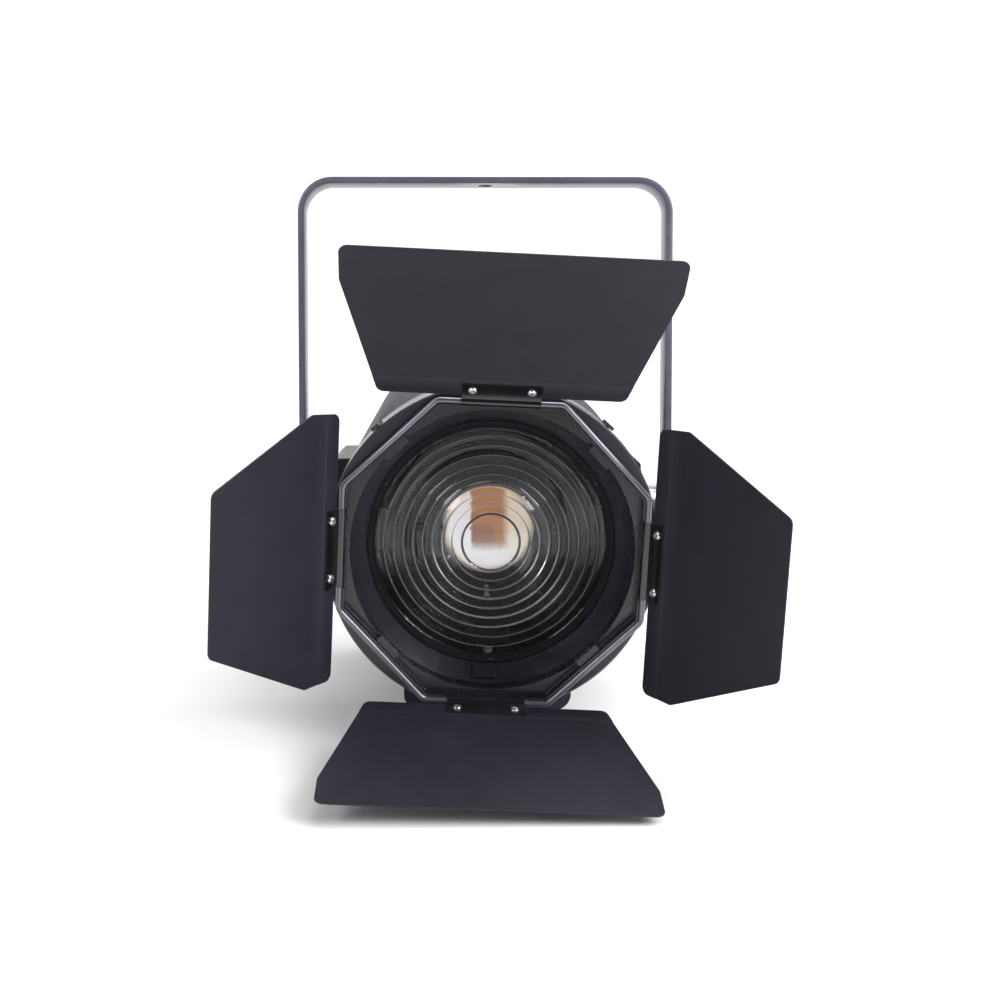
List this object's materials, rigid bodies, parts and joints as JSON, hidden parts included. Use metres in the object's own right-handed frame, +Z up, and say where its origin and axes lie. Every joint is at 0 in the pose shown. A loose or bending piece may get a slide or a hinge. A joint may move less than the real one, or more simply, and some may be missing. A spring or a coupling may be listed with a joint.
{
  "type": "fresnel spotlight",
  "caption": "Stage fresnel spotlight: round stepped lens, turning octagonal barn door with folding leaves, tilting hanging yoke and a motorised zoom lamp inside.",
  "frame": {"origin": "on the flat underside, straight below the tilt axis", "axes": "+Z up; the lens looks along -Y; +X is on the right of someone facing the lens; the tilt axis is along X"},
  "size_m": [0.4215, 0.487, 0.4829],
  "materials": {
    "cast_paint": "satin black powder coat over cast and sheet aluminium",
    "shell_paint": "satin black powder coat over sheet aluminium",
    "leaf_paint": "matt black heat-proof paint",
    "clip_paint": "gloss black enamel",
    "rim_paint": "semi-gloss black enamel",
    "wire_steel": "worn black plate over steel wire",
    "yoke_paint": "satin black powder coat",
    "zinc_steel": "bright zinc plate",
    "ground_steel": "ground",
    "black_plastic": "moulded, fine grain",
    "lens_glass": "clear borosilicate glass",
    "gasket_rubber": "matt",
    "raw_aluminium": "extruded and turned",
    "black_aluminium": "black anodised",
    "brass": "turned",
    "board_green": "circuit board laminate",
    "led_phosphor": "phosphor-filled silicone over the chips",
    "display_plastic": "tinted clear window",
    "button_plastic": "moulded cap",
    "blue_plastic": "power connector, moulded",
    "fibre": "pressed fibre washer"
  },
  "bodies": {
    "head": {"front_ring": "cast_paint", "lens": "lens_glass", "lens_retaining_ring": "rim_paint", "lens_gasket": "gasket_rubber", "front_barrel": "cast_paint", "main_shell": "shell_paint", "rear_cover": "shell_paint", "base_box": "shell_paint", "base_cover": "shell_paint", "cover_screws": "zinc_steel", "pivot_block_left": "black_aluminium", "pivot_block_right": "black_aluminium", "pivot_hub_left": "ground_steel", "pivot_hub_right": "ground_steel", "friction_washers": "fibre", "safety_eye": "zinc_steel", "rod_supports": "black_aluminium", "guide_rods": "ground_steel", "zoom_motor": "black_aluminium", "power_supply": "raw_aluminium", "control_board": "board_green", "display_window": "display_plastic", "connector_panel": "black_aluminium", "power_inlet": "blue_plastic", "data_sockets": "black_plastic", "fuse_holder": "black_plastic"},
    "yoke": {"yoke_bar": "yoke_paint", "yoke_arms": "yoke_paint", "knob_washers": "zinc_steel"},
    "tilt_knob_left": {"tilt_knob_left": "black_plastic"},
    "tilt_knob_right": {"tilt_knob_right": "black_plastic"},
    "lock_screw_left": {"frame_lock_screw_left": "black_plastic"},
    "lock_screw_right": {"frame_lock_screw_right": "black_plastic"},
    "barn_frame": {"barn_frame": "rim_paint", "rim_wire": "wire_steel", "filter_clips": "rim_paint"},
    "zoom_carriage": {"carriage_plate": "black_aluminium", "carriage_bushes": "brass", "heat_sink": "black_aluminium", "led_array": "led_phosphor", "led_holder": "black_plastic", "fan_frame": "black_plastic"},
    "fan_rotor": {"fan_rotor": "black_plastic"},
    "lead_screw": {"lead_screw": "ground_steel"},
    "leaf_top": {"leaf_top": "leaf_paint", "hinge_clip_top": "clip_paint", "leaf_screws_top": "zinc_steel"},
    "leaf_right": {"leaf_right": "leaf_paint", "hinge_clip_right": "clip_paint", "leaf_screws_right": "zinc_steel"},
    "leaf_bottom": {"leaf_bottom": "leaf_paint", "hinge_clip_bottom": "clip_paint", "leaf_screws_bottom": "zinc_steel"},
    "leaf_left": {"leaf_left": "leaf_paint", "hinge_clip_left": "clip_paint", "leaf_screws_left": "zinc_steel"},
    "button_menu": {"button_menu": "button_plastic"},
    "button_down": {"button_down": "button_plastic"},
    "button_up": {"button_up": "button_plastic"},
    "button_enter": {"button_enter": "button_plastic"}
  },
  "joints": [
    {"name": "yoke_tilt", "type": "hinge", "parent": "head", "child": "yoke", "pos_m": [0, 0, 0.17], "axis": [1, 0, 0], "range_deg": [-110, 30]},
    {"name": "tilt_knob_left_turn", "type": "hinge", "parent": "yoke", "child": "tilt_knob_left", "pos_m": [-0.1753, 0, 0.17], "axis": [-1, 0, 0], "range_deg": [0, 360]},
    {"name": "tilt_knob_right_turn", "type": "hinge", "parent": "yoke", "child": "tilt_knob_right", "pos_m": [0.1753, 0, 0.17], "axis": [1, 0, 0], "range_deg": [0, 360]},
    {"name": "lock_screw_left_turn", "type": "hinge", "parent": "head", "child": "lock_screw_left", "pos_m": [-0.09303, -0.161, 0.27152], "axis": [-0.6756, 0, 0.7373], "range_deg": [0, 360]},
    {"name": "lock_screw_right_turn", "type": "hinge", "parent": "head", "child": "lock_screw_right", "pos_m": [0.09303, -0.161, 0.27152], "axis": [0.6756, 0, 0.7373], "range_deg": [0, 360]},
    {"name": "barn_frame_turn", "type": "hinge", "parent": "head", "child": "barn_frame", "pos_m": [0, -0.1815, 0.17], "axis": [0, 1, 0], "continuous": true},
    {"name": "leaf_top_fold", "type": "hinge", "parent": "barn_frame", "child": "leaf_top", "pos_m": [0.00588, -0.1815, 0.29336], "axis": [0.9989, 0, -0.0476], "range_deg": [-42.3, 107.7]},
    {"name": "leaf_right_fold", "type": "hinge", "parent": "barn_frame", "child": "leaf_right", "pos_m": [0.12336, -0.1815, 0.16412], "axis": [0.0476, 0, 0.9989], "range_deg": [-89.4, 60.6]},
    {"name": "leaf_bottom_fold", "type": "hinge", "parent": "barn_frame", "child": "leaf_bottom", "pos_m": [-0.00588, -0.1815, 0.04664], "axis": [-0.9989, 0, 0.0476], "range_deg": [-82.5, 67.5]},
    {"name": "leaf_left_fold", "type": "hinge", "parent": "barn_frame", "child": "leaf_left", "pos_m": [-0.12336, -0.1815, 0.17588], "axis": [-0.0476, 0, -0.9989], "range_deg": [-90.1, 59.9]},
    {"name": "zoom", "type": "slide", "parent": "head", "child": "zoom_carriage", "axis": [0, 1, 0], "range_m": [0, 0.05]},
    {"name": "lead_screw_turn", "type": "hinge", "parent": "head", "child": "lead_screw", "pos_m": [0, 0, 0.078], "axis": [0, 1, 0], "range_deg": [-10, 2260]},
    {"name": "fan_spin", "type": "hinge", "parent": "zoom_carriage", "child": "fan_rotor", "pos_m": [0, -0.03, 0.17], "axis": [0, 1, 0], "continuous": true},
    {"name": "button_menu_press", "type": "slide", "parent": "head", "child": "button_menu", "axis": [0, -1, 0], "range_m": [0, 0.001], "stiffness_N_per_m": 400},
    {"name": "button_down_press", "type": "slide", "parent": "head", "child": "button_down", "axis": [0, -1, 0], "range_m": [0, 0.001], "stiffness_N_per_m": 400},
    {"name": "button_up_press", "type": "slide", "parent": "head", "child": "button_up", "axis": [0, -1, 0], "range_m": [0, 0.001], "stiffness_N_per_m": 400},
    {"name": "button_enter_press", "type": "slide", "parent": "head", "child": "button_enter", "axis": [0, -1, 0], "range_m": [0, 0.001], "stiffness_N_per_m": 400}
  ],
  "couplings": [
    {"joint": "lead_screw_turn", "follows": "zoom", "rad_per_m": 785.4}
  ]
}
